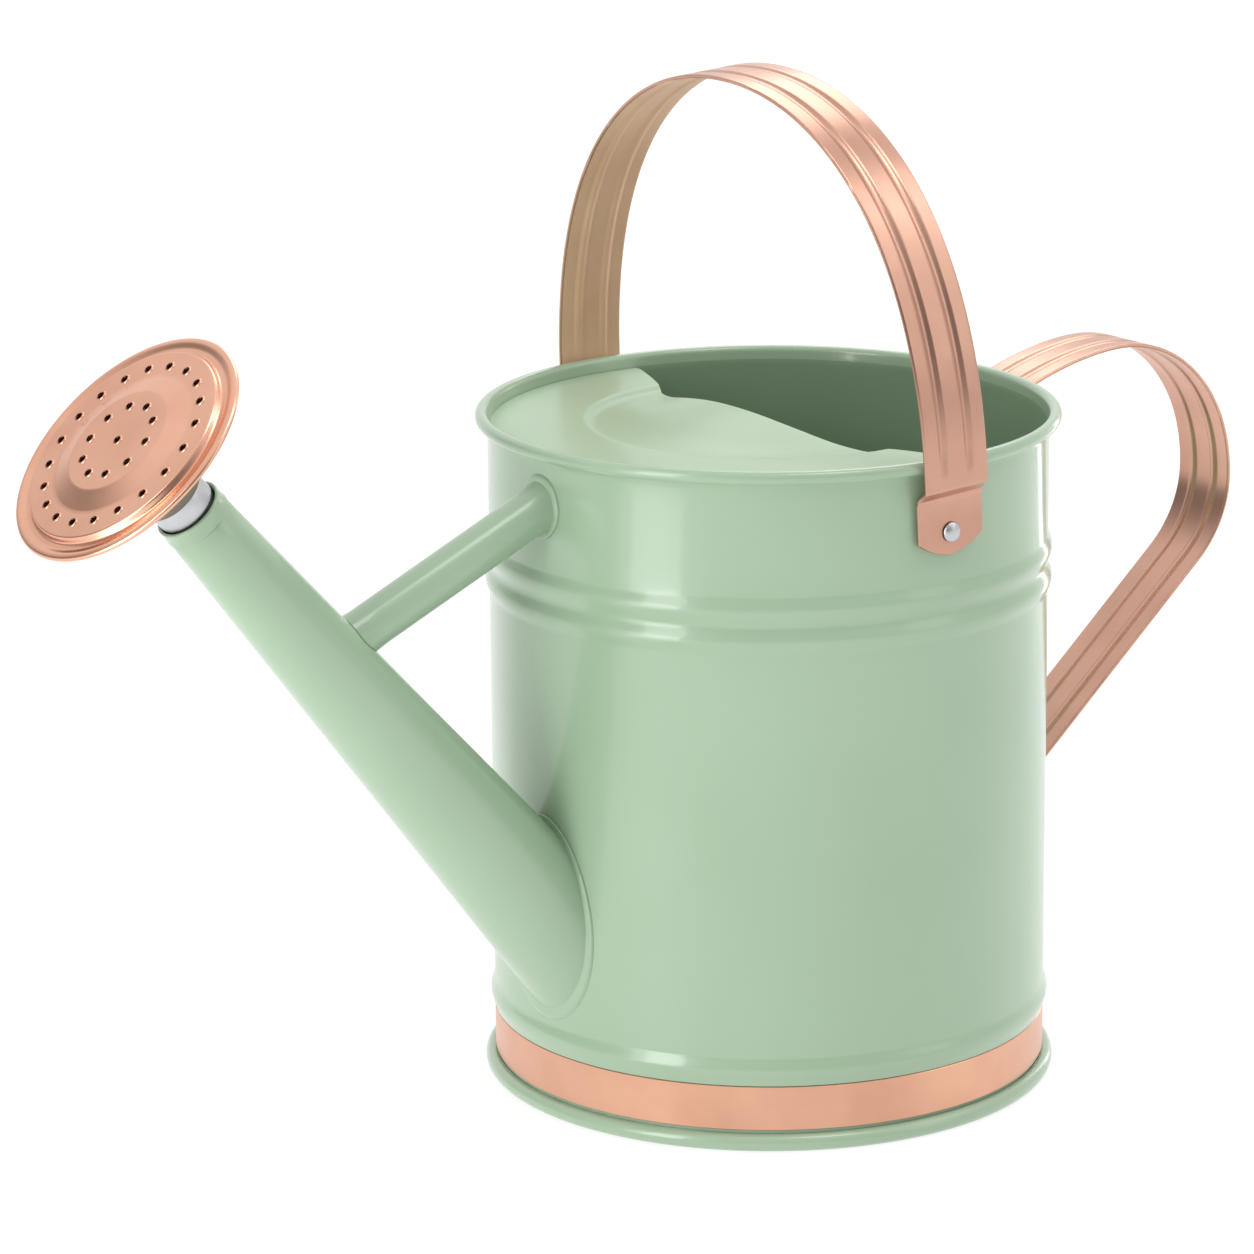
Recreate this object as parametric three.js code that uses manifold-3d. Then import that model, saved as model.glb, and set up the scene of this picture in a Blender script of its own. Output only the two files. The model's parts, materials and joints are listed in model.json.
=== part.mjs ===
// Watering can in enamelled sheet metal with copper straps, a copper base band and a pull-off rose.
// Frame: millimetres, origin on the tank's axis at the height it stands on, +Z up,
// spout towards -X, rear handle towards +X, swing handle pivots on the +Y and -Y sides.
import * as THREE from 'three';
import { mergeVertices } from 'three/addons/utils/BufferGeometryUtils.js';
import Module from 'manifold-3d';

const wasm = await Module();
wasm.setup();

// ---- driving dimensions ----
const R = 85;                       // outside radius of the tank wall
const WALL = 0.8;                   // sheet thickness of tank, hood and spout
const GAP = 0.3;                    // air between neighbouring pieces
const ROUND = 48;                   // flats round the tank
const RIM_Z = 2.42 * R;             // centre height of the rolled rim
const RIM_CIRCLE = 1.02 * R;
const RIM_BEAD = 2.0;
const HEM_BEAD = 2.6;               // half height of the folded base seam
const PAN_Z = 2.0;                  // height of the pan's underside
const BAND_LOW = 6.2;
const BAND_HIGH = 20.6;
const BAND_SHEET = 0.6;
const RIDGE = 1.2;                  // how far the stiffening beads stand out
const RIDGE_HALF = 4.4;             // half height of a bead
const RIDGE_HEIGHTS = [0.288 * R, 1.835 * R, 1.945 * R];

const SPOUT_ROOT_Z = 0.75 * R;      // where the spout's axis meets the wall's surface
const SPOUT_SLOPE = THREE.MathUtils.degToRad(49.6);
const SPOUT_LENGTH = 2.2145 * R;    // from the wall's surface to the tip, along the axis
const SPOUT_ROOT_R = 0.2225 * R;
const SPOUT_TIP_R = 0.1165 * R;
const TIP_COLLAR = 5.5;             // length of the rolled collar at the tip
const SADDLE_WIDTH = 2.1;           // outer edge of the collar round the spout's root, off the spout

const BRACE_Z = 2.225 * R;          // where the brace's axis meets the wall
const BRACE_END = [-1.80 * R, 1.88 * R];
const BRACE_R = 0.0815 * R;

const ROSE_SLOPE = THREE.MathUtils.degToRad(46.3);
const ROSE_REACH = 0.326 * R;       // spout tip to the plane of the rose's rim
const ROSE_R = 0.456 * R;
const HOLE_R = 1.2;
const OUTER_HOLES = { count: 20, radius: 0.320 * R, shift: 0.56 };
const INNER_HOLES = { count: 10, radius: 0.144 * R, shift: 0.79 };
const NECK_R = 9.0;                 // the neck outside the spout
const PLUG_R = 8.1;                 // the neck inside the spout
const NECK_BORE_R = 7.6;
const NECK_DEPTH = 12;              // how far the neck reaches into the spout

const STRAP = 1.2;                  // strap thickness
const STRAP_WIDTH = 23.4;
const FOOT_WIDTH = 24.2;
const PIVOT_Z = 2.178 * R;
const BAIL_TOP = 3.644 * R;         // strap's middle surface at the crown
const BAIL_HALF = 1.055 * R;        // strap's middle surface beside the rim
const BAIL_LEAN = THREE.MathUtils.degToRad(-3.1);
const SHANK_R = 1.6;
const RIVET_HEAD_R = 3.1;
const HOLE_CLEARANCE = 0.3;
const REAR_RIVETS = [2.11 * R, 0.665 * R];

// ---- materials ----
const enamel = { color: 0xb0c7ab, roughness: 0.28, metalness: 0.1 };
const enamelInside = { color: 0xa4bda0, roughness: 0.35, metalness: 0.1 };
const copper = { color: 0xd6997d, roughness: 0.32, metalness: 1.0 };
const steel = { color: 0xc9ccce, roughness: 0.25, metalness: 1.0 };
const rubber = { color: 0x2a2a2a, roughness: 0.85, metalness: 0.0 };

// ---- helpers ----
function toSolid(geometry, matrix = new THREE.Matrix4()) {
  const bare = geometry.clone().applyMatrix4(matrix);
  bare.deleteAttribute('normal');
  bare.deleteAttribute('uv');
  const merged = mergeVertices(bare, 1e-4);
  const corners = merged.index.array;
  const triangles = [];
  for (let i = 0; i < corners.length; i += 3) {
    const [a, b, c] = corners.slice(i, i + 3);
    if (a !== b && b !== c && c !== a) triangles.push(a, b, c);
  }
  const vertProperties = Float32Array.from(merged.attributes.position.array);
  return new wasm.Manifold(new wasm.Mesh({ numProp: 3, vertProperties, triVerts: Uint32Array.from(triangles) }));
}

function toGeometry(solid) {
  const mesh = solid.getMesh();
  const geometry = new THREE.BufferGeometry();
  geometry.setAttribute('position', new THREE.BufferAttribute(Float32Array.from(mesh.vertProperties), 3));
  geometry.setIndex(new THREE.BufferAttribute(Uint32Array.from(mesh.triVerts), 1));
  return geometry;
}

function piece(name, geometry, finish) {
  const mesh = new THREE.Mesh(geometry, new THREE.MeshStandardMaterial(finish));
  mesh.name = name;
  return mesh;
}

// Turns a profile of [radius, height] corners about +Z; the profile runs anticlockwise.
function turned(profile, segments = ROUND, closed = true) {
  const points = profile.map(([radius, height]) => new THREE.Vector2(radius, height));
  if (closed) points.push(points[0].clone());
  return new THREE.LatheGeometry(points, segments).rotateX(Math.PI / 2);
}

const AXIS_Y = new THREE.Matrix4().makeRotationX(-Math.PI / 2);
const AXIS_X = new THREE.Matrix4().makeRotationY(Math.PI / 2);

// A frustum along +Z from height a to height b.
function frustum(radiusA, radiusB, a, b, segments) {
  return turned([[0, a], [radiusA, a], [radiusB, b], [0, b]], segments, false);
}

// Places a shape built along +Z on an axis that climbs towards -X from a point of the XZ plane.
function slanted(x, z, slope) {
  const turn = new THREE.Matrix4().makeRotationY(-(Math.PI / 2 - slope));
  return new THREE.Matrix4().makeTranslation(x, 0, z).multiply(turn);
}

// Both faces of a bent strip: the middle line moved half a thickness to each side.
function stripOutline(line, thickness) {
  const left = [];
  const right = [];
  line.forEach((point, i) => {
    const before = line[Math.max(i - 1, 0)];
    const after = line[Math.min(i + 1, line.length - 1)];
    const along = after.clone().sub(before).normalize();
    const side = new THREE.Vector2(-along.y, along.x).multiplyScalar(thickness / 2);
    left.push(point.clone().add(side));
    right.push(point.clone().sub(side));
  });
  return new THREE.Shape([...right, ...left.reverse()]);
}

const at = (x, z) => new THREE.Vector2(x * R, z * R);

// ---- tank ----
function ridgePoints(middle, outward) {
  const steps = [-1, -0.4, 0.4, 1];
  return steps.map((s) => {
    const height = middle + s * RIDGE_HALF;
    const radius = outward + RIDGE * Math.cos(s * Math.PI / 2);
    return [radius, height];
  });
}

function tankWall() {
  const bottom = HEM_BEAD + 0.4;
  const rimAngles = [-110, -50, 10, 70, 130, 180].map(THREE.MathUtils.degToRad);
  const rim = rimAngles.map((a) => [RIM_CIRCLE + RIM_BEAD * Math.cos(a), RIM_Z + RIM_BEAD * Math.sin(a)]);
  const recess = R - BAND_SHEET;
  const outer = [
    [recess, bottom], [recess, BAND_HIGH - 0.6], [R, BAND_HIGH + 0.4],
    ...RIDGE_HEIGHTS.flatMap((height) => ridgePoints(height, R)),
    [R, RIM_Z - 5], ...rim,
  ];
  const inner = [
    [R - WALL, RIM_Z - 4],
    ...RIDGE_HEIGHTS.flatMap((height) => ridgePoints(height, R - WALL)).reverse(),
    [R - WALL, BAND_HIGH + 0.4], [recess - WALL, BAND_HIGH - 0.6], [recess - WALL, bottom],
  ];
  let wall = toSolid(turned([...outer, ...inner]));
  const inlet = frustum(SPOUT_ROOT_R - 2, SPOUT_ROOT_R - 2, -40, 30, 32);
  wall = wall.subtract(toSolid(inlet, slanted(-R, SPOUT_ROOT_Z, SPOUT_SLOPE)));
  const drill = frustum(SHANK_R + HOLE_CLEARANCE, SHANK_R + HOLE_CLEARANCE, -R - 10, R + 10, 10);
  const pivots = new THREE.Matrix4().makeTranslation(0, 0, PIVOT_Z).multiply(AXIS_Y);
  wall = wall.subtract(toSolid(drill, pivots));
  const rearDrill = frustum(SHANK_R + HOLE_CLEARANCE, SHANK_R + HOLE_CLEARANCE, R / 2, R + 10, 10);
  for (const height of REAR_RIVETS) {
    const place = new THREE.Matrix4().makeTranslation(0, 0, height).multiply(AXIS_X);
    wall = wall.subtract(toSolid(rearDrill, place));
  }
  return toGeometry(wall);
}

function basePan() {
  const wallInside = R - BAND_SHEET - WALL;
  const slotOuter = R - BAND_SHEET + GAP;
  const slotInner = wallInside - GAP;
  const top = 2 * HEM_BEAD;
  return turned([
    [0, PAN_Z], [slotInner - 4, PAN_Z], [slotInner - 2, 0.4], [slotInner, 0], [R + 0.4, 0],
    [R + 2.2, 0.8], [R + 3.0, HEM_BEAD], [R + 2.2, top - 0.8], [R + 0.8, top], [slotOuter, top],
    [slotOuter, 2.4], [slotInner, 2.4], [slotInner, top], [slotInner - 0.6, top],
    [slotInner - 0.9, 1.6], [slotInner - 3.6, PAN_Z + WALL], [0, PAN_Z + WALL],
  ], ROUND, false);
}

function baseBand() {
  const inner = R - BAND_SHEET + GAP;
  const outer = inner + BAND_SHEET;
  return turned([[inner, BAND_LOW], [outer, BAND_LOW], [outer, BAND_HIGH - 0.8], [inner, BAND_HIGH - 0.8]]);
}

// Half cover: a shallow dome inside a flat flange, with a hollowed free edge and two tabs at its ends.
function hood() {
  const crown = [
    [0, 2.470], [0.16, 2.462], [0.32, 2.434], [0.48, 2.397], [0.59, 2.380],
    [0.63, 2.384], [0.66, 2.403], [0.90, 2.401], [0.987, 2.390],
  ];
  const top = crown.map(([radius, height]) => [radius * R, height * R]);
  const under = top.map(([radius, height]) => [radius, height - WALL]);
  const dome = toSolid(turned([...under, ...top.reverse()], ROUND, false));
  const plan = new THREE.Shape();
  plan.moveTo(-1.1 * R, -1.1 * R);
  plan.lineTo(0.19 * R, -1.1 * R);
  plan.lineTo(0, -0.64 * R);
  plan.lineTo(-0.02 * R, -0.60 * R);
  plan.quadraticCurveTo(-0.30 * R, 0, -0.02 * R, 0.60 * R);
  plan.lineTo(0, 0.64 * R);
  plan.lineTo(0.19 * R, 1.1 * R);
  plan.lineTo(-1.1 * R, 1.1 * R);
  const block = new THREE.ExtrudeGeometry(plan, { depth: R, bevelEnabled: false, curveSegments: 8 });
  return toGeometry(dome.intersect(toSolid(block, new THREE.Matrix4().makeTranslation(0, 0, 2 * R))));
}

// ---- spout and brace ----
const SPOUT_TAPER = (SPOUT_TIP_R - SPOUT_ROOT_R) / SPOUT_LENGTH;
const spoutRadius = (distance) => SPOUT_ROOT_R + SPOUT_TAPER * distance;
const onSpout = slanted(-R, SPOUT_ROOT_Z, SPOUT_SLOPE);
const spoutCone = (extra, from, to, segments = 32) => toSolid(
  frustum(spoutRadius(from) + extra, spoutRadius(to) + extra, from, to, segments), onSpout);
const column = (radius) => toSolid(frustum(radius, radius, -10, 3 * R, ROUND));

function spoutTube() {
  const start = -35;
  const collar = SPOUT_LENGTH - TIP_COLLAR;
  const outside = turned([
    [0, start], [spoutRadius(start), start], [spoutRadius(collar), collar],
    [spoutRadius(collar) + 0.5, collar + 0.8], [SPOUT_TIP_R + 0.5, SPOUT_LENGTH - 0.5],
    [SPOUT_TIP_R, SPOUT_LENGTH], [0, SPOUT_LENGTH],
  ], 32, false);
  const bore = spoutCone(-WALL, start - 1, SPOUT_LENGTH + 1);
  return toGeometry(toSolid(outside, onSpout).subtract(bore).subtract(column(R + GAP)));
}

function spoutSaddle() {
  const shell = column(R + GAP + 0.9).subtract(column(R + GAP));
  const band = spoutCone(SADDLE_WIDTH, -10, 50).subtract(spoutCone(GAP, -11, 51));
  return toGeometry(shell.intersect(band));
}

const braceRun = new THREE.Vector2(-R - BRACE_END[0], BRACE_Z - BRACE_END[1]);
const BRACE_SLOPE = Math.atan2(braceRun.y, braceRun.x);
const BRACE_LENGTH = braceRun.length();
const onBrace = slanted(-R, BRACE_Z, -BRACE_SLOPE);

function braceTube() {
  const rod = toSolid(frustum(BRACE_R, BRACE_R, -10, BRACE_LENGTH + 12, 24), onBrace);
  const bore = toSolid(frustum(BRACE_R - WALL, BRACE_R - WALL, -11, BRACE_LENGTH + 13, 24), onBrace);
  const spout = spoutCone(GAP, -30, SPOUT_LENGTH);
  return toGeometry(rod.subtract(bore).subtract(column(R + GAP)).subtract(spout));
}

function braceSaddle() {
  const shell = column(R + GAP + 0.9).subtract(column(R + GAP));
  const outer = toSolid(frustum(BRACE_R + 2.0, BRACE_R + 2.0, -10, 20, 24), onBrace);
  const inner = toSolid(frustum(BRACE_R + GAP, BRACE_R + GAP, -11, 21, 24), onBrace);
  return toGeometry(shell.intersect(outer).subtract(inner));
}

// ---- rose, built along +Z from the spout tip ----
function roseFace() {
  const rim = ROSE_REACH;
  const top = [
    [0, rim + 4.0], [0.200 * R, rim + 4.0], [0.278 * R, rim + 2.2], [0.380 * R, rim + 2.2],
    [0.400 * R, rim + 0.2], [0.435 * R, rim + 0.6], [ROSE_R - 0.6, rim + 0.9],
  ];
  const under = top.slice(0, -1).map(([radius, height]) => [radius, height - 0.7]);
  const edge = [[ROSE_R - 0.6, rim - 1.2], [ROSE_R, rim - 0.6], [ROSE_R, rim + 0.3]];
  let plate = toSolid(turned([...under, ...edge, ...top.reverse()], 36, false));
  const drill = (radius, angle) => {
    const place = new THREE.Matrix4().makeTranslation(radius * Math.cos(angle), radius * Math.sin(angle), 0);
    return toSolid(frustum(HOLE_R, HOLE_R, rim - 5, rim + 9, 6), place);
  };
  plate = plate.subtract(drill(0, 0));
  for (const ring of [OUTER_HOLES, INNER_HOLES]) {
    for (let i = 0; i < ring.count; i += 1) {
      plate = plate.subtract(drill(ring.radius, 2 * Math.PI * (i + ring.shift) / ring.count));
    }
  }
  return toGeometry(plate);
}

function roseBack() {
  const rim = ROSE_REACH;
  const outside = [[NECK_R + 0.6, 7], [NECK_R + 3.5, 10], [0.24 * R, 17], [0.35 * R, 23], [0.415 * R, rim - 1.6]];
  const inside = outside.map(([radius, height]) => [radius - 0.2, height + 0.8]).reverse();
  inside[inside.length - 1] = [NECK_R + 0.3, 7.8];
  return turned([[NECK_R + GAP, 7], ...outside, ...inside], 28);
}

function roseNeck() {
  return turned([
    [NECK_BORE_R, -NECK_DEPTH], [PLUG_R, -NECK_DEPTH], [PLUG_R, 0.1], [NECK_R, 1.0], [NECK_R, 9],
    [NECK_BORE_R, 9],
  ], 20);
}

function roseSeal() {
  const outer = NECK_BORE_R - GAP;
  return turned([
    [outer - 1.2, -NECK_DEPTH], [outer, -NECK_DEPTH], [outer, -NECK_DEPTH + 3], [outer - 1.2, -NECK_DEPTH + 3],
  ], 20);
}

// ---- swing handle, its middle line drawn in the YZ plane ----
function bailLine() {
  const footSide = R + GAP + STRAP / 2;
  const arch = new THREE.CubicBezierCurve(
    new THREE.Vector2(BAIL_HALF, 2.36 * R),
    new THREE.Vector2(BAIL_HALF, 3.21 * R),
    new THREE.Vector2(0.575 * R, BAIL_TOP),
    new THREE.Vector2(0, BAIL_TOP),
  );
  const half = [
    new THREE.Vector2(footSide, 2.08 * R),
    new THREE.Vector2(footSide, 2.305 * R),
    ...arch.getPoints(18),
  ];
  const mirrored = half.slice(0, -1).map((point) => new THREE.Vector2(-point.x, point.y)).reverse();
  return [...half, ...mirrored];
}

function footPlan(width, footWidth, crease, corner, bottom, top) {
  const plan = new THREE.Shape();
  plan.moveTo(-footWidth / 2, corner);
  plan.quadraticCurveTo(0, 2 * bottom - corner, footWidth / 2, corner);
  plan.lineTo(footWidth / 2, crease);
  plan.lineTo(width / 2, crease + 2);
  plan.lineTo(width / 2, top);
  plan.lineTo(-width / 2, top);
  plan.lineTo(-width / 2, crease + 2);
  plan.lineTo(-footWidth / 2, crease);
  return plan;
}

function bailStrap() {
  const sides = stripOutline(bailLine(), STRAP);
  const depth = 2 * FOOT_WIDTH;
  const strip = new THREE.ExtrudeGeometry(sides, { depth, bevelEnabled: false });
  strip.translate(0, 0, -depth / 2);
  const acrossX = new THREE.Matrix4().makeBasis(
    new THREE.Vector3(0, 1, 0), new THREE.Vector3(0, 0, 1), new THREE.Vector3(1, 0, 0));
  const plan = footPlan(STRAP_WIDTH, FOOT_WIDTH, 2.315 * R, 2.155 * R, 2.10 * R, 4 * R);
  const block = new THREE.ExtrudeGeometry(plan, { depth: 4 * R, bevelEnabled: false, curveSegments: 8 });
  block.translate(0, 0, -2 * R).rotateX(Math.PI / 2);
  const hole = frustum(SHANK_R + HOLE_CLEARANCE, SHANK_R + HOLE_CLEARANCE, -R - 10, R + 10, 10);
  const pivots = new THREE.Matrix4().makeTranslation(0, 0, PIVOT_Z).multiply(AXIS_Y);
  const strap = toSolid(strip, acrossX).intersect(toSolid(block)).subtract(toSolid(hole, pivots));
  return toGeometry(strap).translate(0, 0, -PIVOT_Z);
}

// ---- rear handle, its middle line drawn in the XZ plane ----
function rearLine() {
  const footSide = 1 + (GAP + STRAP / 2) / R;
  const rise = new THREE.CubicBezierCurve(at(1.085, 2.368), at(1.22, 2.422), at(1.40, 2.468), at(1.55, 2.468));
  const fall = new THREE.CubicBezierCurve(at(1.55, 2.468), at(1.86, 2.468), at(2.107, 2.22), at(2.107, 1.90));
  const turn = new THREE.CubicBezierCurve(at(2.107, 1.90), at(2.107, 1.77), at(2.040, 1.661), at(1.956, 1.59));
  return [
    at(footSide, 2.03), at(footSide, 2.315), at(1.03, 2.34),
    ...rise.getPoints(6).slice(0, -1), ...fall.getPoints(12).slice(0, -1), ...turn.getPoints(6),
    at(1.06, 0.83), at(1.025, 0.79), at(footSide, 0.765), at(footSide, 0.57),
  ];
}

function rearHandle() {
  const strip = new THREE.ExtrudeGeometry(stripOutline(rearLine(), STRAP), {
    depth: STRAP_WIDTH, bevelEnabled: false,
  });
  strip.translate(0, 0, -STRAP_WIDTH / 2);
  let strap = toSolid(strip, new THREE.Matrix4().makeRotationX(Math.PI / 2));
  const hole = frustum(SHANK_R + HOLE_CLEARANCE, SHANK_R + HOLE_CLEARANCE, R / 2, R + 10, 10);
  for (const height of REAR_RIVETS) {
    const place = new THREE.Matrix4().makeTranslation(0, 0, height).multiply(AXIS_X);
    strap = strap.subtract(toSolid(hole, place));
  }
  return toGeometry(strap);
}

// ---- rivets, built along +Z with the tank's axis at height 0 ----
function rivet() {
  const seat = R + 2 * GAP + STRAP;
  const tail = R - WALL - 2 * GAP - 1.0;
  return turned([
    [0, tail - 1.2], [2.0, tail - 1.2], [2.6, tail - 0.6], [2.6, tail], [SHANK_R, tail], [SHANK_R, seat],
    [RIVET_HEAD_R, seat], [RIVET_HEAD_R - 0.3, seat + 0.6], [RIVET_HEAD_R - 1.4, seat + 1.2], [0, seat + 1.5],
  ], 12, false);
}

function washer() {
  const top = R - WALL - GAP;
  return turned([[SHANK_R + GAP, top - 1.0], [4.6, top - 1.0], [4.6, top - 0.35], [SHANK_R + GAP, top - 0.35]], 14);
}

// ---- assembly ----
const can = new THREE.Group();

const tank = new THREE.Group();
tank.add(piece('body_shell', tankWall(), enamel));
tank.add(piece('base_pan', basePan(), enamel));
tank.add(piece('base_band', baseBand(), copper));
tank.add(piece('hood', hood(), enamelInside));
tank.add(piece('spout_tube', spoutTube(), enamel));
tank.add(piece('spout_saddle', spoutSaddle(), enamel));
tank.add(piece('brace_tube', braceTube(), enamel));
tank.add(piece('brace_saddle', braceSaddle(), enamel));
tank.add(piece('rear_handle', rearHandle(), copper));
can.add(tank);

const rose = new THREE.Group();
rose.add(piece('rose_face', roseFace(), copper));
rose.add(piece('rose_back', roseBack(), copper));
rose.add(piece('rose_neck', roseNeck(), steel));
rose.add(piece('rose_seal', roseSeal(), rubber));
rose.position.set(
  -R - SPOUT_LENGTH * Math.cos(SPOUT_SLOPE), 0, SPOUT_ROOT_Z + SPOUT_LENGTH * Math.sin(SPOUT_SLOPE));
rose.rotation.y = -(Math.PI / 2 - ROSE_SLOPE);
can.add(rose);

const bail = new THREE.Group();
bail.add(piece('bail_strap', bailStrap(), copper));
bail.position.z = PIVOT_Z;
bail.rotation.y = BAIL_LEAN;
can.add(bail);

function fastening(name, height, turn) {
  const group = new THREE.Group();
  group.add(piece(`${name}_rivet`, rivet(), steel));
  group.add(piece(`${name}_washer`, washer(), steel));
  group.position.z = height;
  group.rotation.set(turn.x, turn.y, 0);
  return group;
}

can.add(fastening('bail_left', PIVOT_Z, { x: -Math.PI / 2, y: 0 }));
can.add(fastening('bail_right', PIVOT_Z, { x: Math.PI / 2, y: 0 }));
can.add(fastening('rear_top', REAR_RIVETS[0], { x: 0, y: Math.PI / 2 }));
can.add(fastening('rear_bottom', REAR_RIVETS[1], { x: 0, y: Math.PI / 2 }));

export default can;
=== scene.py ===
"""Looks of the enamelled watering can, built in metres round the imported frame."""
import json
import math

import bpy
from mathutils import Matrix, Vector


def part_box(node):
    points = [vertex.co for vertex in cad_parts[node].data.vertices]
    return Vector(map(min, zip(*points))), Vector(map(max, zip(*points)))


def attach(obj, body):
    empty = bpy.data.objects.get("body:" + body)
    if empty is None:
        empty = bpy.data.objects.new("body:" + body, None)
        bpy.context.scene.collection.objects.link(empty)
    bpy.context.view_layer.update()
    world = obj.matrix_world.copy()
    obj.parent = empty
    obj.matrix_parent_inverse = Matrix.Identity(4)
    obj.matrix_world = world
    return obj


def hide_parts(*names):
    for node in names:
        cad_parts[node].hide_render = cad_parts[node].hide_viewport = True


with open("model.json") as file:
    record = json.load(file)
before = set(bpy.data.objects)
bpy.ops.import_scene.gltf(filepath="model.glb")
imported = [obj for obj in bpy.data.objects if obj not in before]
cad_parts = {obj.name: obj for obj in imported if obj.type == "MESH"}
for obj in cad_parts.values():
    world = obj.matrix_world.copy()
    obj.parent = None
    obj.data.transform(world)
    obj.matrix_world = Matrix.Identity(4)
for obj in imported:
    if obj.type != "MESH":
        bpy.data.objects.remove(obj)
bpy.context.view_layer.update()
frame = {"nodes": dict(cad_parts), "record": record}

MM = 0.001
TAU = 2 * math.pi

# ---- driving dimensions, worked out from the frame ----
GAP = 0.3 * MM                                # clear air between neighbouring pieces
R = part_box("base_band")[1][0] - GAP           # outside radius of the tank wall
WALL = 0.8 * MM                               # thickness of the enamelled sheet
RIM_BEAD = 2.0 * MM
RIM_CIRCLE = 1.02 * R
RIM_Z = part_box("body_shell")[1][2] - 0.98 * RIM_BEAD
HEM_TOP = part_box("base_pan")[1][2]
BAND_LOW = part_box("base_band")[0][2]
BAND_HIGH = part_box("base_band")[1][2]
BAND_SHEET = 0.6 * MM
RIDGE = 1.2 * MM                              # how far a stiffening bead stands out
RIDGE_HALF = 4.4 * MM
RIDGE_HEIGHTS = (0.288 * R, 1.835 * R, 1.945 * R)
SPOUT_ROOT_Z = 0.75 * R
SPOUT_SLOPE = math.radians(49.6)
SPOUT_LENGTH = 2.2145 * R
SPOUT_ROOT_R = 0.2225 * R
SPOUT_TIP_R = 0.1165 * R
BRACE_Z = 2.225 * R
BRACE_END = Vector((-1.80 * R, 0, 1.88 * R))
BRACE_R = 0.0815 * R
ROSE_SLOPE = math.radians(46.3)
ROSE_REACH = 0.326 * R
ROSE_R = 0.456 * R
NECK_R = 9.0 * MM
PLUG_R = 8.1 * MM
NECK_BORE_R = 7.6 * MM
STRAP = 1.2 * MM                              # thickness of both handles' strip
STRAP_WIDTH = 23.4 * MM
FOOT_WIDTH = 24.2 * MM
FOOT_MIDDLE = R + GAP + STRAP / 2             # the strip's middle where a foot lies on the wall
GROOVE = 0.65 * MM                            # depth of a pressed groove
GROOVE_PLACES = (-0.205, 0.205)               # in strip widths from its middle
GROOVE_HALF = 0.075                           # in strip widths
STRIP_COLUMNS = 56                            # spans across one face of the strip
SHANK_HOLE_R = 1.9 * MM
JOINTS = {joint["name"]: joint for joint in frame["record"]["behaviour"]["joints"]}
PIVOT_Z = JOINTS["bail_swing"]["pos_m"][2]
BAIL_TOP = 3.644 * R
BAIL_HALF = 1.0548 * R                        # half the arch's width, to the strip's middle
BAIL_LEAN = math.radians(-3.1)
REAR_RIVETS = (2.11 * R, 0.665 * R)


# ---- mesh helpers ----
def new_piece(name, verts, faces, body, node, material, sharp=35):
    """A mesh that rides on a body and stands for a CAD node; creases over the angle stay sharp."""
    mesh = bpy.data.meshes.new(name)
    mesh.from_pydata([tuple(v) for v in verts], [], faces)
    mesh.validate()
    mesh.shade_smooth()
    mesh.set_sharp_from_angle(angle=math.radians(sharp))
    obj = bpy.data.objects.new(name, mesh)
    bpy.context.scene.collection.objects.link(obj)
    mesh.materials.append(material)
    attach(obj, body)
    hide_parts(node)
    return obj


def grid(rows, close_rows=False, close_columns=True, flip=False):
    """Vertices and quads of a grid of points; either direction can close on itself."""
    count, width = len(rows), len(rows[0])
    verts = [point for row in rows for point in row]
    faces = []
    for i in range(count if close_rows else count - 1):
        for j in range(width if close_columns else width - 1):
            a = i * width + j
            b = i * width + (j + 1) % width
            c = ((i + 1) % count) * width + (j + 1) % width
            d = ((i + 1) % count) * width + j
            faces.append((a, d, c, b) if flip else (a, b, c, d))
    return verts, faces


def joined(*parts):
    verts, faces = [], []
    for part_verts, part_faces in parts:
        start = len(verts)
        verts += list(part_verts)
        faces += [tuple(start + k for k in face) for face in part_faces]
    return verts, faces


def angles(count, dense=()):
    """Evenly spaced angles, with extra ones placed where a seam needs them."""
    return sorted(set([TAU * k / count for k in range(count)] + [a % TAU for a in dense]))


def turned(profile, turns, matrix=Matrix(), on_axis=False, dent=None):
    """A profile of (radius, height), anticlockwise, turned about +Z. dent(angle, r, z) moves r."""
    rows = []
    middle = profile[1:-1] if on_axis else profile
    for radius, height in middle:
        row = []
        for a in turns:
            r = radius + (dent(a, radius, height) if dent else 0)
            row.append(matrix @ Vector((r * math.cos(a), r * math.sin(a), height)))
        rows.append(row)
    verts, faces = grid(rows, close_rows=not on_axis)
    if on_axis:
        width = len(turns)
        for height, ring in ((profile[0][1], 0), (profile[-1][1], len(rows) - 1)):
            tip = len(verts)
            verts.append(matrix @ Vector((0, 0, height)))
            for j in range(width):
                a = ring * width + j
                b = ring * width + (j + 1) % width
                faces.append((tip, b, a) if ring == 0 else (tip, a, b))
    return verts, faces


def arc(center, radius, start, end, steps):
    return [(center[0] + radius * math.cos(a), center[1] + radius * math.sin(a))
            for a in (math.radians(start + (end - start) * k / steps) for k in range(steps + 1))]


def bezier(p0, p1, p2, p3, steps):
    points = []
    for k in range(steps + 1):
        t = k / steps
        u = 1 - t
        points.append(tuple(u**3 * a + 3 * u * u * t * b + 3 * u * t * t * c + t**3 * d
                            for a, b, c, d in zip(p0, p1, p2, p3)))
    return points


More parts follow.
